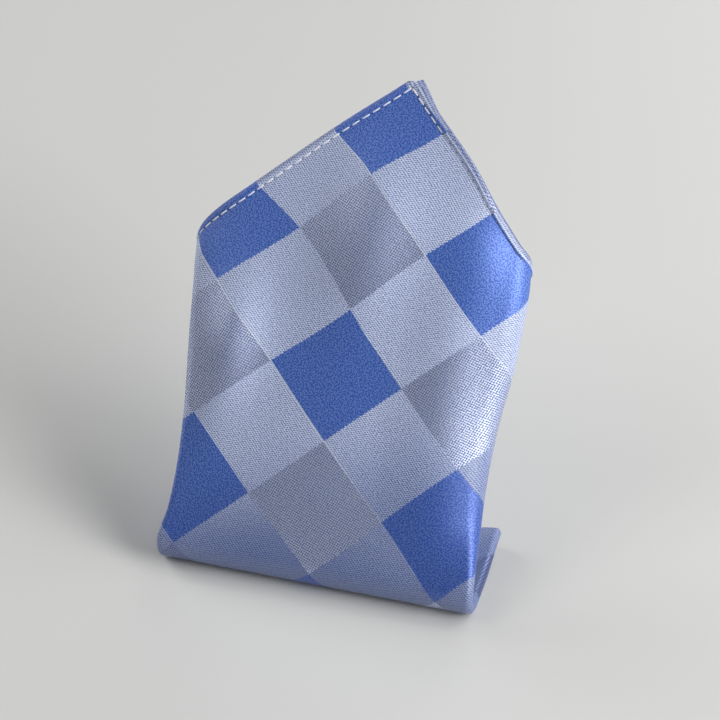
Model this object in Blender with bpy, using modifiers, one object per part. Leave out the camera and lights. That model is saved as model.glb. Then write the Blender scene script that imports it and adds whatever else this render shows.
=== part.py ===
"""Pocket square: one hemmed square of cloth, folded to a one-point strip that stands on its own foot.

The square is folded in half on its diagonal, so the model's sheet is the doubled cloth, a right
triangle with its hemmed corner at the top and the crease as its long side. Both sides are folded
behind to a strip, the ends of the two wings are turned in, and the strip's lower end is turned back
under it as a flat foot. The strip leans back over that foot.

Flat coordinates: s runs down from the hemmed corner to the crease, t runs to the right across it.
Model frame: metres, +Z up, the strip faces -Y and leans towards +Y.
"""
import math

import bmesh
import bpy
from mathutils import Vector

MM = 0.001

# The flat cloth
SQUARE_SIDE = 254 * MM
HALF_DIAGONAL = SQUARE_SIDE / math.sqrt(2)
CLOTH_THICKNESS = 1.0 * MM
HEM_WIDTH = 2.2 * MM
HEM_THICKNESS = 1.2 * MM
HEM_STEP = 0.6 * MM
TIP_CUT = 1.5 * MM

# How it stands
LEAN = math.radians(56)
STRIP_LENGTH = 138.5 * MM
FOOT_BEND_RADIUS = 6.6 * MM
FOOT_BEND_ARC = FOOT_BEND_RADIUS * (math.pi - LEAN)
SIDE_SLANT = 0.059

# The layers behind the front: mid-surface to mid-surface
LAYER_PITCH = 1.35 * MM
RIGHT, LEFT = 1, -1
WING_DEPTH = {RIGHT: 2 * LAYER_PITCH, LEFT: 4 * LAYER_PITCH}
WING_END_INSET = {RIGHT: 3.6 * MM, LEFT: 2.2 * MM}
WING_END_RADIUS = LAYER_PITCH / 2
WING_SETTLE = 45 * MM

# Half-widths of the strip and radii of its side rolls, in mm:
# s, left half-width, left radius, right half-width, right radius
SIDE_ROLLS = (
    (0, 53.5, 13.5, 42.5, 13.0),
    (45, 52.4, 13.5, 42.3, 11.0),
    (60, 52.0, 13.0, 42.8, 8.0),
    (75, 49.2, 11.5, 43.1, 5.6),
    (95, 45.2, 8.5, 42.6, 3.6),
    (115, 43.2, 5.2, 43.7, 2.2),
    (131, 43.2, 3.2, 46.3, 1.5),
    (140, 43.2, 2.7, 47.4, 1.35),
    (180, 43.2, 2.7, 47.4, 1.35),
)

# Soft forms of the strip, in mm: x, s of the middle, half-length along s, half-width across, rise to the front
SOFT_FORMS = (
    (-4, 85, 70, 34, 1.6),
    (-22, 62, 30, 9, -1.3),
    (16, 96, 34, 9, -0.9),
    (-2, 40, 26, 8, 0.9),
    (30, 70, 26, 8, 0.8),
)
FORMS_END = (104 * MM, 134 * MM)

# Lines of the mesh: segments down the strip, round the bend and along the foot, then across each side
ROWS_STRIP, ROWS_BEND, ROWS_FOOT = 18, 9, 3
ACROSS_FRONT, ACROSS_ROLL, ACROSS_WING, ACROSS_TURN, ACROSS_END = 7, 8, 6, 6, 3

# Points nearer than the first are joined after the cloth is cut; the second is what counts as on a cut's line
JOIN_WITHIN = 0.18 * MM
ON_LINE = 0.02 * MM


def ease(u):
    """0 below 0, 1 above 1, and smooth between."""
    u = min(1.0, max(0.0, u))
    return u * u * (3 - 2 * u)


def from_table(table, s, column):
    """A smooth curve through one column of a table whose first column is s in mm."""
    place = s / MM
    last = len(table) - 2
    row = max(0, min(last, sum(r[0] <= place for r in table) - 1))
    before, here, there, after = (table[max(0, min(last + 1, row + k))] for k in (-1, 0, 1, 2))
    gap = there[0] - here[0]
    u = min(1.0, max(0.0, (place - here[0]) / gap))
    slope_here = (there[column] - before[column]) / max(there[0] - before[0], 1e-9) * gap
    slope_there = (after[column] - here[column]) / max(after[0] - here[0], 1e-9) * gap
    rise = there[column] - here[column]
    value = (
        here[column]
        + slope_here * u
        + (3 * rise - 2 * slope_here - slope_there) * u**2
        + (slope_here + slope_there - 2 * rise) * u**3
    )
    return value * MM


def side_roll(side, s):
    """The strip's half-width and its roll's radius on one side."""
    column = 1 if side == LEFT else 3
    return from_table(SIDE_ROLLS, s, column), from_table(SIDE_ROLLS, s, column + 1)


def zones(side, s):
    """Lengths across one side of the cloth: front, roll round the side, wing, turn at the wing's end."""
    width, radius = side_roll(side, s)
    other_width, _ = side_roll(-side, s)
    front = width - radius
    wing = front + other_width - WING_END_INSET[side] - WING_END_RADIUS
    return front, math.pi * radius, wing, math.pi * WING_END_RADIUS


def wing_depth(side, radius, along):
    """How far behind the front a wing lies, along its way from the roll."""
    level = WING_DEPTH[side]
    return level + (2 * radius - level) * (1 - ease(along / WING_SETTLE))


def section(s, t):
    """The strip's cross-section: x and the depth behind the front, for a point of the flat cloth."""
    side = RIGHT if t >= 0 else LEFT
    along = abs(t)
    front, roll, wing, turn = zones(side, s)
    radius = roll / math.pi
    if along <= front:
        return side * along, 0.0
    along -= front
    if along <= roll:
        angle = along / radius
        return side * (front + radius * math.sin(angle)), radius * (1 - math.cos(angle))
    along -= roll
    if along <= wing:
        return side * (front - along), wing_depth(side, radius, along)
    end_x = side * (front - wing)
    end_depth = wing_depth(side, radius, wing)
    along -= wing
    if along <= turn:
        angle = along / WING_END_RADIUS
        x = end_x - side * WING_END_RADIUS * math.sin(angle)
        return x, end_depth - WING_END_RADIUS * (1 - math.cos(angle))
    return end_x + side * (along - turn), end_depth - 2 * WING_END_RADIUS


def soft_rise(x, s):
    """How far the strip's soft forms stand to the front; none near the bend and in the foot."""
    fade = 1 - ease((s - FORMS_END[0]) / (FORMS_END[1] - FORMS_END[0]))
    rise = 0.0
    for form_x, form_s, length, width, height in SOFT_FORMS:
        away = ((x / MM - form_x) / width) ** 2 + ((s / MM - form_s) / length) ** 2
        rise += height * math.exp(-away)
    return rise * fade * MM


def folded(s, t):
    """The place of a point of the flat cloth once it is folded and stands."""
    x, depth = section(s, t)
    depth -= soft_rise(x, s)
    x += SIDE_SLANT * max(0.0, STRIP_LENGTH - s)
    radius = FOOT_BEND_RADIUS - depth
    turned = min(max(s - STRIP_LENGTH, 0.0), FOOT_BEND_ARC) / FOOT_BEND_RADIUS
    angle = math.pi / 2 + LEAN + turned
    y = radius * math.cos(angle)
    z = FOOT_BEND_RADIUS + CLOTH_THICKNESS / 2 + radius * math.sin(angle)
    above = max(0.0, STRIP_LENGTH - s)
    beyond = max(0.0, s - STRIP_LENGTH - FOOT_BEND_ARC)
    return Vector((x, y + above * math.cos(LEAN) + beyond, z + above * math.sin(LEAN)))


def steps(start, end, count):
    """Evenly spaced places after start, up to end."""
    return [start + (end - start) * (k + 1) / count for k in range(count)]


def row_places():
    """The values of s at the mesh's rows."""
    bend_end = STRIP_LENGTH + FOOT_BEND_ARC
    rows = [0.0] + steps(0.0, STRIP_LENGTH, ROWS_STRIP)
    return rows + steps(STRIP_LENGTH, bend_end, ROWS_BEND) + steps(bend_end, HALF_DIAGONAL, ROWS_FOOT)


def column_places(side, s):
    """The distances from the middle of the cloth at the mesh's columns on one side of a row."""
    places, start = [], 0.0
    counts = (ACROSS_FRONT, ACROSS_ROLL, ACROSS_WING, ACROSS_TURN)
    for length, count in zip(zones(side, s), counts):
        places += steps(start, start + length, count)
        start += length
    return places + steps(start, max(HALF_DIAGONAL, start + MM), ACROSS_END)


def cut(cloth, place, inward, clear):
    """A line cut across the flat cloth; what lies outside it is taken off if clear is true."""
    whole = cloth.verts[:] + cloth.edges[:] + cloth.faces[:]
    bmesh.ops.bisect_plane(
        cloth, geom=whole, dist=ON_LINE, plane_co=place, plane_no=inward, clear_inner=clear
    )


def flat_triangle():
    """The doubled cloth laid flat, as a grid whose columns follow the folds, cut to its two hemmed legs."""
    cloth = bmesh.new()
    rows = row_places()
    lines = [
        [-p for p in reversed(column_places(LEFT, s))] + [0.0] + column_places(RIGHT, s) for s in rows
    ]
    columns = len(lines[0])
    bmesh.ops.create_grid(cloth, x_segments=columns - 1, y_segments=len(rows) - 1, size=1.0)
    cloth.verts.ensure_lookup_table()
    for index, vert in enumerate(cloth.verts):
        row, column = divmod(index, columns)
        vert.co = Vector((lines[row][column], rows[row], 0.0))
    for side in (RIGHT, LEFT):
        inward = Vector((-side, 1.0, 0.0)).normalized()
        for inset in (HEM_WIDTH + HEM_STEP, HEM_WIDTH, 0.0):
            cut(cloth, inward * inset, inward, inset == 0.0)
    cut(cloth, Vector((0.0, TIP_CUT, 0.0)), Vector((0.0, 1.0, 0.0)), True)
    bmesh.ops.remove_doubles(cloth, verts=cloth.verts[:], dist=JOIN_WITHIN)
    bmesh.ops.dissolve_degenerate(cloth, edges=cloth.edges[:], dist=ON_LINE)
    return cloth


def hem_inset(s, t):
    """The distance from the nearer hemmed leg of the flat cloth."""
    return (s - abs(t)) / math.sqrt(2)


def cloth_material():
    """Blue, light blue and grey satin taken together."""
    material = bpy.data.materials.new("woven_satin")
    material.use_nodes = True
    shader = material.node_tree.nodes["Principled BSDF"]
    shader.inputs["Base Color"].default_value = (0.20, 0.27, 0.48, 1.0)
    shader.inputs["Roughness"].default_value = 0.45
    shader.inputs["Metallic"].default_value = 0.0
    return material


def make_pocket_square(collection):
    """The folded cloth as one closed solid, thicker along its hem."""
    cloth = flat_triangle()
    in_hem = []
    for vert in cloth.verts:
        t, s, _ = vert.co
        in_hem.append(hem_inset(s, t) <= HEM_WIDTH + ON_LINE)
        vert.co = folded(s, t)
    mesh = bpy.data.meshes.new("pocket_square")
    cloth.to_mesh(mesh)
    cloth.free()
    mesh.materials.append(cloth_material())
    square = bpy.data.objects.new("pocket_square", mesh)
    collection.objects.link(square)
    hem = square.vertex_groups.new(name="hem")
    hem.add([index for index, inside in enumerate(in_hem) if inside], 1.0, "REPLACE")
    shell = square.modifiers.new("thickness", "SOLIDIFY")
    shell.thickness = HEM_THICKNESS
    shell.offset = 0.0
    shell.use_even_offset = False
    shell.vertex_group = "hem"
    shell.thickness_vertex_group = CLOTH_THICKNESS / HEM_THICKNESS
    mesh.shade_smooth()
    return square


def centre_on_origin(square):
    """Puts the middle of the object's box over the origin, in X and Y."""
    bpy.context.view_layer.update()
    corners = square.evaluated_get(bpy.context.evaluated_depsgraph_get()).bound_box
    for axis in (0, 1):
        values = [corner[axis] for corner in corners]
        square.location[axis] = -(min(values) + max(values)) / 2


def main():
    for old in list(bpy.data.objects):
        bpy.data.objects.remove(old, do_unlink=True)
    collection = bpy.data.collections.new("pocket_square")
    bpy.context.scene.collection.children.link(collection)
    centre_on_origin(make_pocket_square(collection))


main()
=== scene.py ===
"""A woven silk pocket square, folded to a point and standing on its turned-back lower end.

The cloth is one hemmed square, folded on its diagonal into two plies, its sides folded behind to a
strip and the strip's lower end turned back as a foot. Its two-by-two check, its satin weave and its
hem follow the flat cloth, whose places are kept in the piece's own UV map, in metres.
"""

import math
from functools import partial

import bmesh
import bpy
from mathutils import Matrix, Vector


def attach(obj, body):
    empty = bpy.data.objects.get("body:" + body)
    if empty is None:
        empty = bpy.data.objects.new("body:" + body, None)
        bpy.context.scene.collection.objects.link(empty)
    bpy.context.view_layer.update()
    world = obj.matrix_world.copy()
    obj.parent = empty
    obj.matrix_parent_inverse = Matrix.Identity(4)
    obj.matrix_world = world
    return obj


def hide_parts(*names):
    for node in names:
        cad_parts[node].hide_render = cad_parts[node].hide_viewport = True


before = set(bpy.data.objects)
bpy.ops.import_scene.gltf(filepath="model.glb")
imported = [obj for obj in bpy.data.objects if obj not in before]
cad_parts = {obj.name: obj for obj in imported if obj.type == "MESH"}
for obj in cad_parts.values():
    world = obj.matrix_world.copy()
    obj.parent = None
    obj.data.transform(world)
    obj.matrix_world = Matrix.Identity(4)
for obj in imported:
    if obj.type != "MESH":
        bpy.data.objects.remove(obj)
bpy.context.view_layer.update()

MM = 0.001

# The flat cloth: its plies' middles lie PLY_OFFSET from the pair's middle, and its hemmed corners are blunt
SQUARE_SIDE = 254 * MM
HALF_DIAGONAL = SQUARE_SIDE / math.sqrt(2)
PLY_THICKNESS = 0.36 * MM
PLY_OFFSET = 0.32 * MM
TIP_CUT = 1.5 * MM

# The hem, rolled to the wrong side: a round rim, a full shoulder, and drawn in where it is sewn down
HEM_WIDTH = 2.2 * MM
HEM_THICKNESS, RIM_THICKNESS, SEWN_THICKNESS = 0.72 * MM, 0.42 * MM, 0.32 * MM
HEM_ROUND, HEM_SHOULDER, SEWN_REACH = 0.9 * MM, 1.6 * MM, 0.6 * MM

# Its lockstitch, whose exact spacing fits each hem
STITCH_PITCH = 3.1 * MM
STITCH_LENGTH = 2.85 * MM
HEM_RUN = SQUARE_SIDE - 2 * HEM_WIDTH
STITCH_COUNT = int(HEM_RUN / STITCH_PITCH)
STITCH_STEP = HEM_RUN / STITCH_COUNT
# How far before and after its middle a stitch follows the hem, and a step inward that shows its upward side
STITCH_REACH, STEP_INWARD = 0.35 * STITCH_PITCH, 0.5 * MM
# The thread, and as shares of its width: half its height, its ends' dip, its lift and how far it sinks
THREAD_WIDTH = 0.50 * MM
THREAD_HEIGHT, THREAD_DIP, THREAD_LIFT, THREAD_SINK = 0.36, 0.34, 0.12, 0.5
# Down the right hem the thread is pulled down into the cloth from here on
THREAD_SUNK = 19 * MM

# How it stands, as the solid does: its lean, its strip and foot, its slant to the right by height, and the
# move that sets it where the solid is
LEAN = math.radians(56)
STRIP_LENGTH = 138.5 * MM
FOOT_BEND_RADIUS = 6.6 * MM
FOOT_BEND_ARC = FOOT_BEND_RADIUS * (math.pi - LEAN)
SIDE_SLANT = 0.059
SHEET_HALF = 0.5 * MM
FRAME_MOVE = Vector((-1.07 * MM, -31.9 * MM, 0.0))

# The two wings behind the front: how far back each lies, how far in from the strip's side it ends, and the
# way over which it settles there from the roll
LAYER_PITCH = 1.35 * MM
RIGHT, LEFT = 1, -1
WING_DEPTH = {RIGHT: 2 * LAYER_PITCH, LEFT: 4 * LAYER_PITCH}
WING_END_INSET = {RIGHT: 3.6 * MM, LEFT: 9.5 * MM}
WING_END_RADIUS = LAYER_PITCH / 2
WING_SETTLE = 45 * MM

# The strip's sides, in mm: s, left half-width and roll's radius, right half-width and roll's radius, and
# the radius of the left roll's front corner
SIDE_ROLLS = (
    (0, 52.4, 13.5, 44.2, 2.2, 13.5),
    (45, 51.2, 13.5, 44.0, 3.2, 12.5),
    (60, 49.2, 13.0, 43.8, 4.2, 5.0),
    (75, 46.5, 11.5, 43.9, 4.4, 2.0),
    (95, 43.6, 8.5, 42.8, 4.0, 1.5),
    (115, 41.8, 5.2, 43.8, 3.2, 1.3),
    (131, 41.4, 3.2, 46.3, 1.9, 1.3),
    (140, 42.7, 2.7, 47.4, 1.35, 1.3),
    (180, 42.7, 2.7, 47.4, 1.35, 1.3),
)

# The cloth's swells and hollows, in mm: x and s of the middle, half-length along s, half-width across, and
# rise to the front
SOFT_FORMS = (
    (-4, 85, 70, 34, 1.6),
    (-2, 46, 24, 12, 3.8),
    (-34, 74, 26, 8, 1.5),
    (-35, 84, 17, 10, 3.6),
    (16, 100, 30, 12, -0.9),
    (26, 72, 26, 9, 0.9),
    (47, 50, 26, 12, -4.6),
    (45, 34, 15, 15, -4.2),
    (46, 92, 25, 12, -6.4),
    (48, 120, 18, 9, -3.4),
    (-50, 118, 30, 10, -2.4),
)
# Where the strip is drawn sideways, in mm: the same, and the pull to the right
SIDE_PULLS = (
    (18, 22, 16, 14, 2.0),
    (32, 36, 10, 10, -0.8),
    (45, 42, 10, 10, -2.2),
    (0, 0, 20, 16, 1.7),
)
# The foot's right far corner lifts like an ear
EAR_LIFT, EAR_START, EAR_LENGTH, EAR_WIDTH = 2.4 * MM, 163 * MM, 15 * MM, 12 * MM
# The corner's right hem is wider than the rest
FLARE, FLARE_LENGTH = 1.6 * MM, 16 * MM
# Swells and pulls fade out between these two values of s
FORMS_END = (118 * MM, 138 * MM)

# Segments down the strip, round the bend and along the foot, then across each side
ROWS_STRIP, ROWS_BEND, ROWS_FOOT = 92, 22, 12
ACROSS_FRONT, ACROSS_ROLL, ACROSS_WING, ACROSS_TURN, ACROSS_END = 28, 16, 26, 8, 9
# Closer rows at the crease and lines along the hems: their distances from it, in mm
CREASE_ROWS = (0.9, 0.5, 0.3, 0.15)
HEM_LINES = (0.0, 0.35, 0.9, 1.6, 2.05, 2.35, 2.8)
# A point of the mesh this near a cut is on it, and points this near each other are one
ON_LINE = 0.02 * MM
JOIN_WITHIN = 0.1 * MM

# The check: its lines' places on the flat cloth, counted from the hemmed edges
CHECK_A0, CHECK_A = -1.611, 27.69 * MM
CHECK_B_LINE_2, CHECK_B = 23.2 * MM, 25.65 * MM
# The last of them runs close inside the right hem, and leaves it at the corner and farther down
LAST_LINE, LAST_WIDER, LAST_TIP = 0.9 * MM, 2.1 * MM, 8 * MM
LAST_LATER, LAST_LEAVES = 0.6 * MM, (35 * MM, 50 * MM)
CHECK_PULLS = ((58, -14, 18, 16, 3.2), (135, 8, 16, 20, 2.2))
# How far the left and right hems draw the check's lines along themselves, and how far in that reaches
HEM_DRAWS, HEM_REACH = (1.8 * MM, 1.1 * MM), (16 * MM, 25 * MM)
# The stretches along a hem over which that begins and ends
HEM_DRAW_BEGINS, HEM_DRAW_ENDS = (4 * MM, 16 * MM), (50 * MM, 75 * MM)
# A light pick shows along every second line, this share of a block to each side of it, and this strongly
PICK_REACH, PICK_STRENGTH = 0.006, 0.6

# The weave's yarn is drawn about four times as coarse as silk, so that it shows in the render
THREAD_PITCH = 0.63 * MM
# Waves a yarn, along the ends and the picks, of the grey cells' twill and of its ribs
TWILL, RIB = (0.42, 0.86), (0.9, -0.42)
# How far the check's lines across the picks step with the yarn, as a share of it
YARN_STEP = 0.62
# The yarn's unevenness: grains a metre, its strength, and how sharply one yarn is set off from the next
YARN_GRAINS = 2.3 / MM
YARN_UNEVEN, YARN_CRISP, POINTS_UNEVEN = 1.3, 4.2, 3.2
# Gloss, its turn and relief by kind of cell: light, grey, blue
FLOAT_SHINE = (0.03, 0.80, 0.26)
FLOAT_TURN = (0.25, 0.0, 0.0)
FLOAT_RELIEF = (1.0, 1.3, 0.3)
SATIN_GLOSS = {
    "Anisotropic": 0.4,
    "Roughness": 0.48,
    "IOR": 1.8,
    "Sheen Weight": 0.15,
    "Sheen Roughness": 0.4,
}
# Where shade is painted toward the foot's fold, as the floats' sheen fades there: first over the right part,
# then more over the left
PAINTED_SHADE_RIGHT, PAINTED_SHADE_LEFT = (88 * MM, 126 * MM), (146 * MM, 170 * MM)
PAINTED_SHADE_SLANT, PAINTED_SHADE_DEPTH = (0.35, 0.7), (0.62, 0.25)
PAINTED_SHADE_CELLS, PAINTED_SHADE_ENDS = (1.0, 0.0, 0.6), (152 * MM, 182 * MM)
# Grey cells get the painted shade only beyond these distances from the right hem and from the left one
GREY_PAINTED_SHADE = ((118 * MM, 126 * MM), (128 * MM, 136 * MM))
# The painted shade on the hem's rim and in the needle's pits: where each fades out, and how strongly it shows
RIM_REACH, RIM_SHADE = (0.2 * MM, 1.3 * MM), 0.55
PIT_REACH, PIT_SHADE = (0.1 * MM, 0.42 * MM), 0.8

# Settings of nodes
SMOOTH = {"interpolation_type": "SMOOTHSTEP"}
COLOURS = {"data_type": "RGBA"}

# The camera, as the photograph was taken
CAMERA_AZIMUTH, CAMERA_ELEVATION = math.radians(15.66), math.radians(41.0)
CAMERA_DISTANCE = 1.4
CAMERA_LENS, CAMERA_SENSOR = 255.8, 36.0
CAMERA_TARGET = Vector((0.0076, -0.0121, 0.0656))

# The studio's lamps: degrees to the right of the camera, degrees up, and watts
LAMP_SIZE, LAMP_DISTANCE = 0.6, 1.2
LAMP_TARGET = Vector((0.0, 0.0, 0.05))
STUDIO_GLOW = 0.01
LAMPS = {
    "lamp_right_front": (60, 30, 9.0),
    "lamp_right_low": (46, 18, 3.0),
    "lamp_right_high": (90, 50, 3.9),
    "lamp_back_left": (-125, 30, 5.4),
    "lamp_left_high": (-80, 50, 2.6),
    "lamp_back_right_high": (125, 50, 2.0),
    "lamp_back_right": (160, 22, 2.0),
}


def ease(u):
    """0 below 0, 1 above 1, and smooth between."""
    u = min(1.0, max(0.0, u))
    return u * u * (3 - 2 * u)


def from_table(table, s, column):
    """A smooth curve through one column of a table whose first column is s in mm."""
    place = s / MM
    last = len(table) - 2
    row = max(0, min(last, sum(r[0] <= place for r in table) - 1))
    before, here, there, after = (table[max(0, min(last + 1, row + k))] for k in (-1, 0, 1, 2))
    gap = there[0] - here[0]
    u = min(1.0, max(0.0, (place - here[0]) / gap))
    slope_here = (there[column] - before[column]) / max(there[0] - before[0], 1e-9) * gap
    slope_there = (after[column] - here[column]) / max(after[0] - here[0], 1e-9) * gap
    rise = there[column] - here[column]
    value = (
        here[column]
        + slope_here * u
        + (3 * rise - 2 * slope_here - slope_there) * u**2
        + (slope_here + slope_there - 2 * rise) * u**3
    )
    return value * MM


def zones(side, s):
    """Lengths across one side of the cloth: front, roll round the side, wing, turn at the wing's end."""
    column, other = (1, 3) if side == LEFT else (3, 1)
    radius = from_table(SIDE_ROLLS, s, column + 1)
    front = from_table(SIDE_ROLLS, s, column) - radius
    wing = front + from_table(SIDE_ROLLS, s, other) - WING_END_INSET[side] - WING_END_RADIUS
    return front, math.pi * radius, wing, math.pi * WING_END_RADIUS


def wing_depth(side, radius, along):
    """How far behind the front a wing lies, along its way from the roll."""
    level = WING_DEPTH[side]
    return level + (2 * radius - level) * (1 - ease(along / WING_SETTLE))


def rolled(along, radius, corner, out):
    """A place on a side roll, from its start: a tight front corner, a wall, and a round back."""
    before = radius - corner
    if along <= before:
        return along, -out
    quarter = corner * math.pi / 2
    if along <= before + quarter:
        angle = (along - before) / corner
        reach = corner + out
        return before + reach * math.sin(angle), corner - reach * math.cos(angle)
    wall = radius - corner
    back = radius * math.pi / 2
    share = (along - before - quarter) / (math.pi * radius - before - quarter)
    gone = share * (wall + back)
    if gone <= wall:
        return radius + out, corner + gone
    angle = (gone - wall) / radius
    reach = radius + out
    return reach * math.cos(angle), radius + reach * math.sin(angle)


def section(s, t, out):
    """The strip's cross-section: x and depth of a point that stands out from the middle sheet by out."""
    side = RIGHT if t >= 0 else LEFT
    along = abs(t)
    front, roll, wing, turn = zones(side, s)
    radius = roll / math.pi
    if along <= front:
        return side * along, -out
    along -= front
    if along <= roll:
        corner = min(radius, from_table(SIDE_ROLLS, s, 5)) if side == LEFT else radius
        reach, depth = rolled(along, radius, corner, out)
        return side * (front + reach), depth
    along -= roll
    if along <= wing:
        return side * (front - along), wing_depth(side, radius, along) + out
    end_x = side * (front - wing)
    end_depth = wing_depth(side, radius, wing)
    along -= wing
    if along <= turn:
        angle = along / WING_END_RADIUS
        reach = WING_END_RADIUS + out
        return end_x - side * reach * math.sin(angle), end_depth - WING_END_RADIUS + reach * math.cos(angle)
    return end_x + side * (along - turn), end_depth - 2 * WING_END_RADIUS - out


def soft(forms, x, s):
    """The sum of some soft forms at a place of the strip; none near the bend and in the foot."""
    fade = 1 - ease((s - FORMS_END[0]) / (FORMS_END[1] - FORMS_END[0]))
    total = 0.0
    for form_x, form_s, length, width, height in forms:
        away = ((x / MM - form_x) / width) ** 2 + ((s / MM - form_s) / length) ** 2
        total += height * math.exp(-away)
    return total * fade * MM


def folded(s, t, out=0.0):
    """The place of a point of the doubled cloth, out from its middle, once it is folded and stands."""
    x, depth = section(s, t, out)
    depth -= soft(SOFT_FORMS, x, s)
    from_side = x - from_table(SIDE_ROLLS, s, 3)
    lift = EAR_LIFT * ease((s - EAR_START) / EAR_LENGTH) * ease(from_side / EAR_WIDTH + 1)
    x += SIDE_SLANT * max(0.0, STRIP_LENGTH - s) + soft(SIDE_PULLS, x, s)
    radius = FOOT_BEND_RADIUS - depth
    turned = min(max(s - STRIP_LENGTH, 0.0), FOOT_BEND_ARC) / FOOT_BEND_RADIUS
    angle = math.pi / 2 + LEAN + turned
    y = radius * math.cos(angle)
    z = FOOT_BEND_RADIUS + SHEET_HALF + radius * math.sin(angle)
    above = max(0.0, STRIP_LENGTH - s)
    beyond = max(0.0, s - STRIP_LENGTH - FOOT_BEND_ARC)
    y += above * math.cos(LEAN) + beyond
    return Vector((x, y, z + lift + above * math.sin(LEAN)))


def hem_inset(s, t):
    """The distance of a point of the flat square from its nearest edge; s runs on over the crease."""
    down = min(s, 2 * HALF_DIAGONAL - s)
    return (down - abs(t)) / math.sqrt(2)


def cloth_thickness(inset):
    """The ply's thickness: full and rounded in the hem, drawn in under its stitches."""
    if inset < HEM_ROUND:
        return RIM_THICKNESS + (HEM_THICKNESS - RIM_THICKNESS) * ease(inset / HEM_ROUND)
    if inset < HEM_SHOULDER:
        return HEM_THICKNESS
    if inset < HEM_WIDTH:
        drawn_in = ease((inset - HEM_SHOULDER) / (HEM_WIDTH - HEM_SHOULDER))
        return HEM_THICKNESS - (HEM_THICKNESS - SEWN_THICKNESS) * drawn_in
    return SEWN_THICKNESS + (PLY_THICKNESS - SEWN_THICKNESS) * ease((inset - HEM_WIDTH) / SEWN_REACH)


def ply_offset(inset):
    """How far a ply's middle lies from the middle of the pair, wider apart in the hem."""
    return PLY_OFFSET + max(0.0, cloth_thickness(inset) - PLY_THICKNESS) / 2


def flared(s, t):
    """The flat place drawn out where the corner's right hem is wider."""
    inset, along = (s - t) / math.sqrt(2), (s + t) / math.sqrt(2)
    if inset >= HEM_WIDTH or along >= FLARE_LENGTH:
        return s, t
    out = FLARE * (1 - inset / HEM_WIDTH) * (1 - ease(along / FLARE_LENGTH)) / math.sqrt(2)
    return s - out, t + out


def on_cloth(s, t):
    """The place of a point of the flat square, its two plies meeting in a round crease."""
    offset = ply_offset(hem_inset(s, t))
    s, t = flared(s, t)
    from_crease = s - HALF_DIAGONAL
    quarter = offset * math.pi / 2
    if abs(from_crease) >= quarter:
        down = HALF_DIAGONAL - (abs(from_crease) - quarter)
        return folded(down, t, offset if from_crease < 0 else -offset)
    angle = math.pi / 2 + from_crease / offset
    return folded(HALF_DIAGONAL + offset * math.sin(angle), t, offset * math.cos(angle))


def steps(start, end, count):
    """Evenly spaced places after start, up to end."""
    return [start + (end - start) * (k + 1) / count for k in range(count)]


def row_places():
    """The values of s at the mesh's rows, from one corner of the square to the far one."""
    bend_end = STRIP_LENGTH + FOOT_BEND_ARC
    near = HALF_DIAGONAL - CREASE_ROWS[0] * MM
    rows = [0.0] + steps(0.0, STRIP_LENGTH, ROWS_STRIP)
    rows += steps(STRIP_LENGTH, bend_end, ROWS_BEND) + steps(bend_end, near, ROWS_FOOT)
    rows += [HALF_DIAGONAL - gap * MM for gap in CREASE_ROWS[1:]]
    return rows + [HALF_DIAGONAL] + [2 * HALF_DIAGONAL - s for s in reversed(rows)]


def column_places(side, s):
    """The distances from the middle of the cloth at the mesh's columns on one side of a row."""
    down = min(s, 2 * HALF_DIAGONAL - s)
    places, start = [], 0.0
    counts = (ACROSS_FRONT, ACROSS_ROLL, ACROSS_WING, ACROSS_TURN)
    for length, count in zip(zones(side, down), counts):
        places += steps(start, start + length, count)
        start += length
    return places + steps(start, max(HALF_DIAGONAL, start + MM), ACROSS_END)


def cut(cloth, place, inward, clear):
    """A line cut across the flat cloth; what lies outside it is taken off if clear is true."""
    whole = cloth.verts[:] + cloth.edges[:] + cloth.faces[:]
    bmesh.ops.bisect_plane(
        cloth, geom=whole, dist=ON_LINE, plane_co=place, plane_no=inward, clear_inner=clear
    )


def flat_square():
    """The whole square laid flat, x = t and y = s, its columns on the folds and lines along its hems."""
    cloth = bmesh.new()
    rows = row_places()
    lines = [
        [-p for p in reversed(column_places(LEFT, s))] + [0.0] + column_places(RIGHT, s) for s in rows
    ]
    columns = len(lines[0])
    bmesh.ops.create_grid(cloth, x_segments=columns - 1, y_segments=len(rows) - 1, size=1.0)
    cloth.verts.ensure_lookup_table()
    for index, vert in enumerate(cloth.verts):
        row, column = divmod(index, columns)
        vert.co = Vector((lines[row][column], rows[row], 0.0))
    far = 2 * HALF_DIAGONAL
    for side in (RIGHT, LEFT):
        for corner_s, down in ((0.0, 1.0), (far, -1.0)):
            inward = Vector((-side, down, 0.0)).normalized()
            for line in reversed(HEM_LINES):
                cut(cloth, Vector((0.0, corner_s, 0.0)) + inward * line * MM, inward, line == 0.0)
    cut(cloth, Vector((0.0, TIP_CUT, 0.0)), Vector((0.0, 1.0, 0.0)), True)
    cut(cloth, Vector((0.0, far - TIP_CUT, 0.0)), Vector((0.0, -1.0, 0.0)), True)
    bmesh.ops.remove_doubles(cloth, verts=cloth.verts[:], dist=JOIN_WITHIN)
    bmesh.ops.dissolve_degenerate(cloth, edges=cloth.edges[:], dist=ON_LINE)
    return cloth


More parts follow.
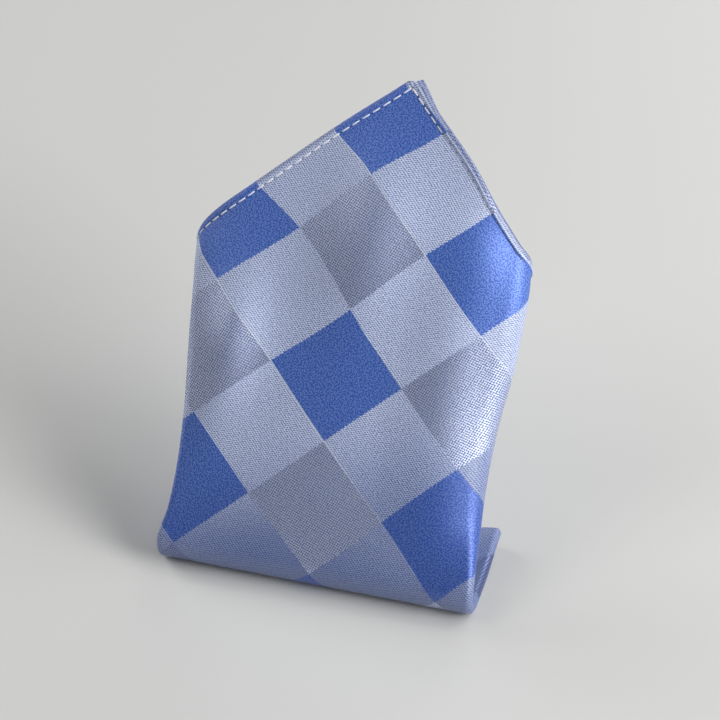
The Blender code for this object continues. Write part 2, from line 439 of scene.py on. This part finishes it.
def make_cloth():
    """The folded square, two plies of one thin sheet, with its flat places as its UV map."""
    cloth = flat_square()
    layer = cloth.loops.layers.uv.new("flat_cloth")
    for face in cloth.faces:
        for loop in face.loops:
            s, t = loop.vert.co.y, loop.vert.co.x
            loop[layer].uv = ((s + t) / math.sqrt(2), (s - t) / math.sqrt(2))
    weights = []
    for vert in cloth.verts:
        s, t = vert.co.y, vert.co.x
        weights.append(cloth_thickness(hem_inset(s, t)) / HEM_THICKNESS)
        vert.co = on_cloth(s, t) + FRAME_MOVE
    mesh = bpy.data.meshes.new("folded_cloth")
    cloth.to_mesh(mesh)
    cloth.free()
    piece = bpy.data.objects.new("folded_cloth", mesh)
    bpy.context.scene.collection.objects.link(piece)
    group = piece.vertex_groups.new(name="thickness")
    for index, weight in enumerate(weights):
        group.add([index], weight, "REPLACE")
    shell = piece.modifiers.new("ply", "SOLIDIFY")
    shell.thickness = HEM_THICKNESS
    shell.offset = 0.0
    shell.use_even_offset = False
    shell.vertex_group = "thickness"
    bpy.ops.object.select_all(action="DESELECT")
    piece.select_set(True)
    bpy.context.view_layer.objects.active = piece
    bpy.ops.object.modifier_apply(modifier=shell.name)
    piece.data.shade_smooth()
    return piece


def in_order(mesh):
    """Sorts a small mesh's faces by their points, because a new sphere's can come in any order."""
    shape = bmesh.new()
    shape.from_mesh(mesh)
    count = len(shape.verts)
    lowest = {face: sorted(vert.index for vert in face.verts)[:3] for face in shape.faces}
    shape.faces.sort(key=lambda face: sum(index * count**k for k, index in enumerate(reversed(lowest[face]))))
    shape.to_mesh(mesh)
    shape.free()


def one_stitch():
    """One stitch of thread along X: a slim grain whose ends dip into the cloth."""
    bpy.ops.object.select_all(action="DESELECT")
    bpy.ops.mesh.primitive_uv_sphere_add(segments=8, ring_count=9, radius=0.5)
    stitch = bpy.context.active_object
    for vert in stitch.data.vertices:
        turn = math.asin(max(-1.0, min(1.0, 2 * vert.co.z))) / (math.pi / 2)
        round_share = math.sqrt(max(0.0, 1 - abs(turn) ** 3))
        ring = math.hypot(vert.co.x, vert.co.y) or 1.0
        across = vert.co.x / ring * round_share * THREAD_WIDTH / 2
        up = vert.co.y / ring * round_share * THREAD_WIDTH * THREAD_HEIGHT
        dip = THREAD_DIP * THREAD_WIDTH * abs(turn) ** 3
        vert.co = Vector((turn * STITCH_LENGTH / 2, across, up - dip))
    in_order(stitch.data)
    return stitch


def hem_place(side, front_ply, along):
    """The flat place on a hem's line of stitches, at a length along it from the corner."""
    down = (along + HEM_WIDTH) / math.sqrt(2)
    s = down if front_ply else 2 * HALF_DIAGONAL - down
    return s, side * (along - HEM_WIDTH) / math.sqrt(2)


def stitch_frame(side, front_ply, along):
    """Where one stitch of a hem lies: on the right side of the ply, its X along the hem."""
    shifts = (-STITCH_REACH, 0.0, STITCH_REACH)
    before, middle, after = (on_cloth(*hem_place(side, front_ply, along + shift)) for shift in shifts)
    s, t = hem_place(side, front_ply, along)
    inward = on_cloth(s + (STEP_INWARD if front_ply else -STEP_INWARD), t) - middle
    tangent = (after - before).normalized()
    normal = tangent.cross(inward).normalized() * (-side if front_ply else side)
    binormal = normal.cross(tangent).normalized()
    lift = cloth_thickness(HEM_WIDTH) / 2 + THREAD_LIFT * THREAD_WIDTH
    if side == RIGHT and along > THREAD_SUNK:
        lift -= THREAD_SINK * THREAD_WIDTH
    turn = Matrix((tangent, binormal, normal)).transposed().to_4x4()
    return Matrix.Translation(middle + FRAME_MOVE + normal * lift) @ turn


def make_stitches():
    """The hems' white lockstitch, as one piece."""
    stitch = one_stitch()
    joined = bmesh.new()
    for side, front_ply in ((RIGHT, True), (RIGHT, False), (LEFT, True), (LEFT, False)):
        for k in range(STITCH_COUNT):
            copy = stitch.data.copy()
            copy.transform(stitch_frame(side, front_ply, HEM_WIDTH + (k + 0.5) * STITCH_STEP))
            joined.from_mesh(copy)
            bpy.data.meshes.remove(copy)
    mesh = bpy.data.meshes.new("hem_stitches")
    joined.to_mesh(mesh)
    joined.free()
    bpy.data.objects.remove(stitch, do_unlink=True)
    piece = bpy.data.objects.new("hem_stitches", mesh)
    bpy.context.scene.collection.objects.link(piece)
    mesh.shade_smooth()
    return piece


def linear(code):
    """An sRGB hex colour as the linear colour that shaders take."""
    values = [int(code[k : k + 2], 16) / 255 for k in (1, 3, 5)]
    return (*((v / 12.92) if v <= 0.04045 else ((v + 0.055) / 1.055) ** 2.4 for v in values), 1.0)


def new_material(name):
    """A material, its node tree and its Principled shader."""
    material = bpy.data.materials.new(name)
    material.use_nodes = True
    tree = material.node_tree
    return material, tree, tree.nodes["Principled BSDF"]


def node(tree, kind, *values, **named):
    """Adds a node with its settings and links, and gives its output.

    The values go to its inputs in their order, and a socket is linked. A name with a capital letter is
    also an input's, and any other name is a setting's.
    """
    made = tree.nodes.new("ShaderNode" + kind)
    for name, value in named.items():
        if name.islower():
            setattr(made, name, value)
    given = list(zip([socket for socket in made.inputs if socket.enabled], values))
    given += [(made.inputs[name], value) for name, value in named.items() if not name.islower()]
    for socket, value in given:
        if isinstance(value, bpy.types.NodeSocket):
            tree.links.new(value, socket)
        else:
            socket.default_value = value
    return next(socket for socket in made.outputs if socket.enabled)


def satin_check():
    """Jacquard silk satin: light weft floats, blue warp floats and a slate twill, each with its own gloss."""
    material, tree, shader = new_material("jacquard_silk_satin")
    add = partial(node, tree)

    def rest_of(share):
        return add("Math", 1.0, share, operation="SUBTRACT")

    def squared(value):
        return add("Math", add("Math", value, operation="ABSOLUTE"), 2.0, operation="POWER")

    def wave(value):
        swing = add("Math", add("Math", value, 2 * math.pi, operation="MULTIPLY"), operation="SINE")
        return add("Math", swing, 0.5, 0.5, operation="MULTIPLY_ADD")

    def slanted(along_ends, along_picks):
        first = add("Math", ends, along_ends, operation="MULTIPLY")
        second = add("Math", picks, along_picks, operation="MULTIPLY")
        return wave(add("Math", first, second, operation="ADD"))

    def odd(value):
        return add("Math", add("Math", value, operation="FLOOR"), 2.0, operation="FLOORED_MODULO")

    def by_hem(along, inset, draw, reach):
        near = rest_of(add("MapRange", inset, 0.0, reach, **SMOOTH))
        near = add("Math", near, add("MapRange", along, *HEM_DRAW_BEGINS, **SMOOTH), operation="MULTIPLY")
        before = rest_of(add("MapRange", along, *HEM_DRAW_ENDS, **SMOOTH))
        near = add("Math", near, before, operation="MULTIPLY")
        return add("Math", near, -draw, along, operation="MULTIPLY_ADD")

    def crisp(first, second, middle=0.5):
        yarn = add("Math", add("Math", first, second, operation="ADD"), 0.5, operation="MULTIPLY")
        yarn = add("Math", uneven, YARN_UNEVEN, yarn, operation="MULTIPLY_ADD")
        yarn = add("Math", yarn, YARN_CRISP, 0.5 - YARN_CRISP * middle, operation="MULTIPLY_ADD")
        return add("Clamp", yarn)

    def by_cell(light, grey, blue):
        value = add("Math", grey_cell, grey - light, light, operation="MULTIPLY_ADD")
        return add("Math", blue_cell, blue - light, value, operation="MULTIPLY_ADD")

    # The flat place: p along the right hem and q along the left one, in metres and in yarns
    flat = add("UVMap", uv_map="flat_cloth")
    p, q = add("SeparateXYZ", flat).node.outputs[:2]
    ends = add("Math", p, THREAD_PITCH, operation="DIVIDE")
    picks = add("Math", q, THREAD_PITCH, operation="DIVIDE")
    grain = add("TexNoise", Vector=flat, Scale=YARN_GRAINS, Detail=1.0, Roughness=0.7)
    uneven = add("Math", grain, 0.5, operation="SUBTRACT")

    # The woven check is drawn sideways in places, as the cloth was handled
    half = math.sqrt(0.5)
    s = add("Math", add("Math", p, q, operation="ADD"), half, operation="MULTIPLY")
    t = add("Math", add("Math", p, q, operation="SUBTRACT"), half, operation="MULTIPLY")
    pulled = 0.0
    for middle_s, middle_t, length, width, pull in CHECK_PULLS:
        away_s = squared(add("Math", s, middle_s * MM, operation="SUBTRACT"))
        away_t = squared(add("Math", t, middle_t * MM, operation="SUBTRACT"))
        away = add("Math", away_t, -1 / (width * MM) ** 2, operation="MULTIPLY")
        away = add("Math", away_s, -1 / (length * MM) ** 2, away, operation="MULTIPLY_ADD")
        share = add("Math", away, operation="EXPONENT")
        pulled = add("Math", share, pull * MM * half, pulled, operation="MULTIPLY_ADD")
    drawn_p = add("Math", p, pulled, operation="SUBTRACT")
    drawn_q = add("Math", q, pulled, operation="ADD")

    # The check's lines across the picks step with the yarn
    step = add("Math", picks, 1.0, operation="PINGPONG")
    step = add("Math", step, YARN_STEP * THREAD_PITCH / CHECK_A, operation="MULTIPLY")
    a = by_hem(drawn_p, drawn_q, HEM_DRAWS[1], HEM_REACH[1])
    a = add("Math", a, 1 / CHECK_A, CHECK_A0, operation="MULTIPLY_ADD")
    a = add("Math", a, step, operation="ADD")

    # Those along the picks are crisp, and the last of them has its own distance from the right hem
    to_line_2 = by_hem(drawn_q, drawn_p, HEM_DRAWS[0], HEM_REACH[0])
    to_line_2 = add("Math", CHECK_B_LINE_2, to_line_2, operation="SUBTRACT")
    wide = add("Math", to_line_2, CHECK_B, operation="DIVIDE")
    tip = add("Math", squared(p), -1 / LAST_TIP**2, operation="MULTIPLY")
    tip = add("Math", add("Math", tip, operation="EXPONENT"), LAST_WIDER, operation="MULTIPLY")
    from_hem = add("MapRange", p, *LAST_LEAVES, **SMOOTH)
    from_hem = add("Math", from_hem, LAST_LATER, LAST_LINE, operation="MULTIPLY_ADD")
    from_hem = add("Math", tip, from_hem, operation="ADD")
    narrow = add("Math", CHECK_B_LINE_2, from_hem, operation="SUBTRACT")
    narrow = add("Math", to_line_2, narrow, operation="DIVIDE")
    wide = add("Math", wide, 0.0, operation="MINIMUM")
    narrow = add("Math", narrow, 0.0, operation="MAXIMUM")
    b = add("Math", add("Math", wide, narrow, operation="ADD"), 2.0, operation="ADD")
    grey_cell = add("Math", odd(a), odd(b), operation="MULTIPLY")
    blue_cell = add("Math", rest_of(odd(a)), rest_of(odd(b)), operation="MULTIPLY")

    # Light cells: short light floats in brick rows over a blue ground
    bricks = add("Math", picks, 0.5, ends, operation="MULTIPLY_ADD")
    dashes = crisp(wave(bricks), wave(picks), 0.55)
    light = add("Mix", dashes, linear("#D6E0FF"), linear("#6B7DAC"), **COLOURS)
    # Grey cells: a coarse twill of white and slate yarn
    cords = crisp(slanted(*TWILL), slanted(*RIB))
    grey = add("Mix", cords, linear("#586BA3"), linear("#DDE5FD"), **COLOURS)
    # Blue cells: satin with scattered binding points
    points = crisp(0.5, add("Math", uneven, POINTS_UNEVEN, 0.5, operation="MULTIPLY_ADD"))
    blue = add("Mix", points, linear("#2755C0"), linear("#6C90DB"), **COLOURS)
    base = add("Mix", grey_cell, light, grey, **COLOURS)
    base = add("Mix", blue_cell, base, blue, **COLOURS)

    # Painted shade: toward the foot's fold a blue-grey darkens the light cells, the blue ones less and the
    # grey ones only near the fold, where their sheen fades
    right = add("Math", q, PAINTED_SHADE_SLANT[0], p, operation="MULTIPLY_ADD")
    right = add("MapRange", right, *PAINTED_SHADE_RIGHT, **SMOOTH)
    left = add("Math", p, PAINTED_SHADE_SLANT[1], q, operation="MULTIPLY_ADD")
    left = add("MapRange", left, *PAINTED_SHADE_LEFT, **SMOOTH)
    depth = add("Math", left, PAINTED_SHADE_DEPTH[1], PAINTED_SHADE_DEPTH[0], operation="MULTIPLY_ADD")
    farther = add("Math", p, q, operation="MAXIMUM")
    before_foot = rest_of(add("MapRange", farther, *PAINTED_SHADE_ENDS, **SMOOTH))
    low_left = add("MapRange", q, *GREY_PAINTED_SHADE[0], **SMOOTH)
    low_right = add("MapRange", p, *GREY_PAINTED_SHADE[1], **SMOOTH)
    low_grey = add("Math", low_left, low_right, operation="MAXIMUM")
    low_grey = add("Math", grey_cell, low_grey, operation="MULTIPLY")
    in_cells = add("Math", by_cell(*PAINTED_SHADE_CELLS), low_grey, operation="ADD")
    painted_shade = add("Math", right, depth, operation="MULTIPLY")
    painted_shade = add("Math", painted_shade, before_foot, operation="MULTIPLY")
    painted_shade = add("Math", painted_shade, in_cells, operation="MULTIPLY")
    # painted shade: a blue-grey multiplied over the cloth's colour toward the foot's fold
    base = add("Mix", painted_shade, base, linear("#7689B1"), blend_type="MULTIPLY", **COLOURS)

    # A light pick runs along every second line of the check, dimmed where shade is painted
    from_even = add("Math", b, 1.0, operation="PINGPONG")
    line = add("Math", from_even, PICK_REACH, operation="LESS_THAN")
    strength = add("Math", PICK_STRENGTH, painted_shade, operation="SUBTRACT")
    line = add("Math", line, strength, operation="MULTIPLY")
    line = add("Math", line, 0.0, operation="MAXIMUM")
    base = add("Mix", line, base, linear("#EEF2FF"), **COLOURS)

    # Painted shade: the hem's rim is darkened, and a dark dot of painted shade sits in the needle's pit
    # between its stitches
    edge_p = add("Math", p, SQUARE_SIDE / 2, operation="PINGPONG")
    edge_q = add("Math", q, SQUARE_SIDE / 2, operation="PINGPONG")
    inset = add("Math", edge_p, edge_q, operation="MINIMUM")
    along = add("Math", edge_p, edge_q, operation="MAXIMUM")
    # painted shade along the hem's rim: a dark blue mixed in near the edge
    painted_rim_shade = rest_of(add("MapRange", inset, *RIM_REACH, **SMOOTH))
    painted_rim_shade = add("Math", painted_rim_shade, RIM_SHADE, operation="MULTIPLY")
    base = add("Mix", painted_rim_shade, base, linear("#2A3E80"), **COLOURS)
    across = add("Math", inset, HEM_WIDTH, operation="SUBTRACT")
    between = add("Math", along, HEM_WIDTH, operation="SUBTRACT")
    between = add("Math", between, STITCH_STEP, operation="DIVIDE")
    between = add("Math", between, 0.5, operation="PINGPONG")
    between = add("Math", between, STITCH_STEP, operation="MULTIPLY")
    away = add("Math", squared(across), squared(between), operation="ADD")
    away = add("Math", away, operation="SQRT")
    # painted shade: a dark dot in each needle's pit
    painted_pit_shade = rest_of(add("MapRange", away, *PIT_REACH, **SMOOTH))
    painted_pit_shade = add("Math", painted_pit_shade, PIT_SHADE, operation="MULTIPLY")
    base = add("Mix", painted_pit_shade, base, linear("#26335F"), **COLOURS)
    tree.links.new(base, shader.inputs["Base Color"])

    # Yarn that floats shines across its own run, so each kind of cell has its own gloss
    light_shine, grey_shine, blue_shine = FLOAT_SHINE
    white_yarn = add("Math", cords, grey_cell, operation="MULTIPLY")
    shine = add("Math", blue_cell, blue_shine, operation="MULTIPLY")
    shine = add("Math", white_yarn, grey_shine, shine, operation="MULTIPLY_ADD")
    shine = add("Math", shine, light_shine, operation="ADD")
    tree.links.new(shine, shader.inputs["Metallic"])
    tree.links.new(by_cell(*FLOAT_TURN), shader.inputs["Anisotropic Rotation"])
    tangent = add("Tangent", direction_type="UV_MAP", uv_map="flat_cloth")
    tree.links.new(tangent, shader.inputs["Tangent"])
    for name, value in SATIN_GLOSS.items():
        shader.inputs[name].default_value = value

    height = add("Math", by_cell(*FLOAT_RELIEF), cords, operation="MULTIPLY")
    height = add("Math", height, grain, operation="ADD")
    bump = add("Bump", Strength=0.4, Distance=0.06 * MM, Height=height)
    tree.links.new(bump, shader.inputs["Normal"])
    return material


def sewing_thread():
    """White polyester sewing thread: two plies twisted, a little glossy."""
    material, tree, shader = new_material("white_sewing_thread")
    place = node(tree, "TexCoord").node.outputs["Object"]
    twist = node(tree, "TexNoise", Vector=place, Scale=4 / MM, Detail=1.0)
    colour = node(tree, "Mix", twist, linear("#F0F1F4"), linear("#FFFFFF"), **COLOURS)
    tree.links.new(colour, shader.inputs["Base Color"])
    shader.inputs["Roughness"].default_value = 0.5
    bump = node(tree, "Bump", Strength=0.3, Distance=0.05 * MM, Height=twist)
    tree.links.new(bump, shader.inputs["Normal"])
    return material


def pale_surface():
    """Pale grey lacquered board: smooth, with a faint mirror under the cloth."""
    material, tree, shader = new_material("pale_lacquered_board")
    place = node(tree, "TexCoord").node.outputs["Object"]
    cloudy = node(tree, "TexNoise", Vector=place, Scale=3.0, Detail=2.0)
    colour = node(tree, "Mix", cloudy, linear("#D2D2D0"), linear("#D8D8D6"), **COLOURS)
    tree.links.new(colour, shader.inputs["Base Color"])
    shader.inputs["Roughness"].default_value = 0.3
    shader.inputs["Specular IOR Level"].default_value = 0.4
    return material


def make_floor():
    """The surface that the cloth stands on."""
    bpy.ops.object.select_all(action="DESELECT")
    bpy.ops.mesh.primitive_plane_add(size=6.0)
    floor = bpy.context.active_object
    floor.name = "floor"
    floor.data.materials.append(pale_surface())


def way_to(turn, rise):
    """The direction from the cloth to a lamp or camera, by its turn to the right and its rise."""
    return Vector((math.sin(turn) * math.cos(rise), -math.cos(turn) * math.cos(rise), math.sin(rise)))


def aim(thing, target):
    """Turns a lamp or camera to look at a point."""
    thing.rotation_euler = (target - thing.location).to_track_quat("-Z", "Y").to_euler()


def add_lamp(name, azimuth, elevation, power):
    """A soft square studio lamp that looks at the cloth; its azimuth is to the right of the camera's."""
    lamp = bpy.data.lights.new(name, "AREA")
    lamp.shape = "SQUARE"
    lamp.size = LAMP_SIZE
    lamp.energy = power
    made = bpy.data.objects.new(name, lamp)
    bpy.context.scene.collection.objects.link(made)
    way = way_to(CAMERA_AZIMUTH + math.radians(azimuth), math.radians(elevation))
    made.location = way * LAMP_DISTANCE
    aim(made, LAMP_TARGET)


def light_studio():
    """Soft lamps all round in a dark room, the strongest low at the right front."""
    for name, (azimuth, elevation, power) in LAMPS.items():
        add_lamp(name, azimuth, elevation, power)
    world = bpy.data.worlds.new("studio")
    bpy.context.scene.world = world
    world.use_nodes = True
    sky = world.node_tree.nodes["Background"]
    sky.inputs[0].default_value = linear("#F2F2F1")
    sky.inputs[1].default_value = STUDIO_GLOW


def add_camera():
    """A long lens, right of the front and well above, as the photograph was taken."""
    lens = bpy.data.cameras.new("camera")
    lens.lens = CAMERA_LENS
    lens.sensor_width = CAMERA_SENSOR
    lens.clip_start = 0.05
    camera = bpy.data.objects.new("camera", lens)
    bpy.context.scene.collection.objects.link(camera)
    camera.location = CAMERA_TARGET + way_to(CAMERA_AZIMUTH, CAMERA_ELEVATION) * CAMERA_DISTANCE
    aim(camera, CAMERA_TARGET)
    bpy.context.scene.camera = camera


bpy.context.scene.view_settings.view_transform = "Standard"

cloth = make_cloth()
cloth.data.materials.append(satin_check())
stitches = make_stitches()
stitches.data.materials.append(sewing_thread())

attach(cloth, "root")
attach(stitches, "root")
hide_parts("pocket_square")

make_floor()
light_studio()
add_camera()
